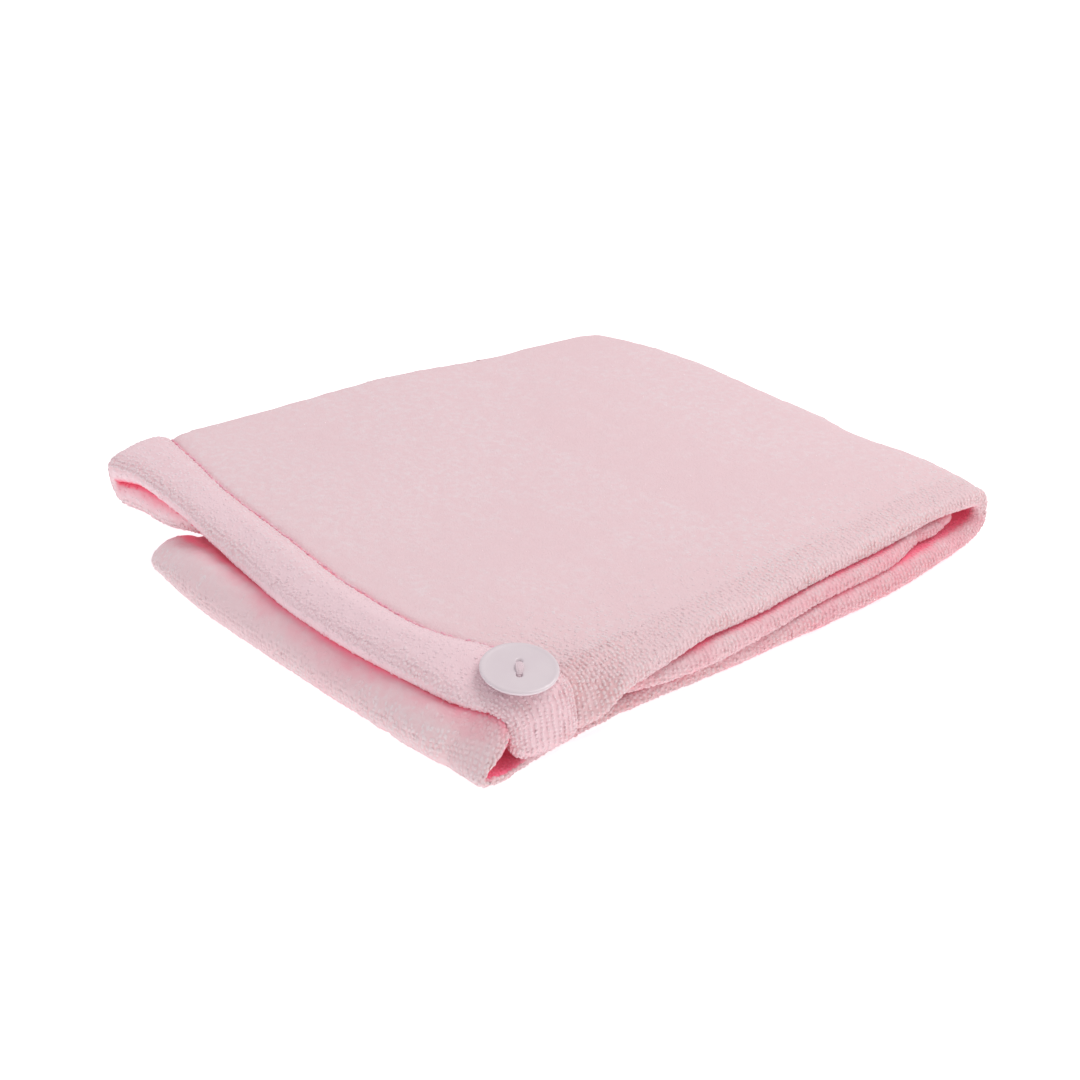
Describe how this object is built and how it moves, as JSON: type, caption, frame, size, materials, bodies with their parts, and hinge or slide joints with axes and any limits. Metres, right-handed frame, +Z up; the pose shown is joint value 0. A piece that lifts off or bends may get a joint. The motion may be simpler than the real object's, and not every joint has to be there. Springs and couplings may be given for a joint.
{
  "type": "folded hair towel",
  "caption": "Hair drying towel: a tapered sleeve of thick fleece with a banded mouth, a button at the corner and a loop at the tail, folded flat in three.",
  "frame": {"origin": "under the middle of the folded towel's box, on the surface it lies on", "axes": "+X along the mouth towards the button corner, +Y from the mouth to the back fold, +Z up"},
  "size_m": [0.2495, 0.2772, 0.0318],
  "materials": {
    "fleece": "coral fleece",
    "hem": "coral fleece",
    "button": "polished",
    "thread": "twisted thread",
    "elastic": "covered elastic"
  },
  "bodies": {
    "root": {"towel_body": "fleece", "hem_band": "hem", "button": "button", "button_thread": "thread", "elastic_loop": "elastic"}
  },
  "joints": []
}
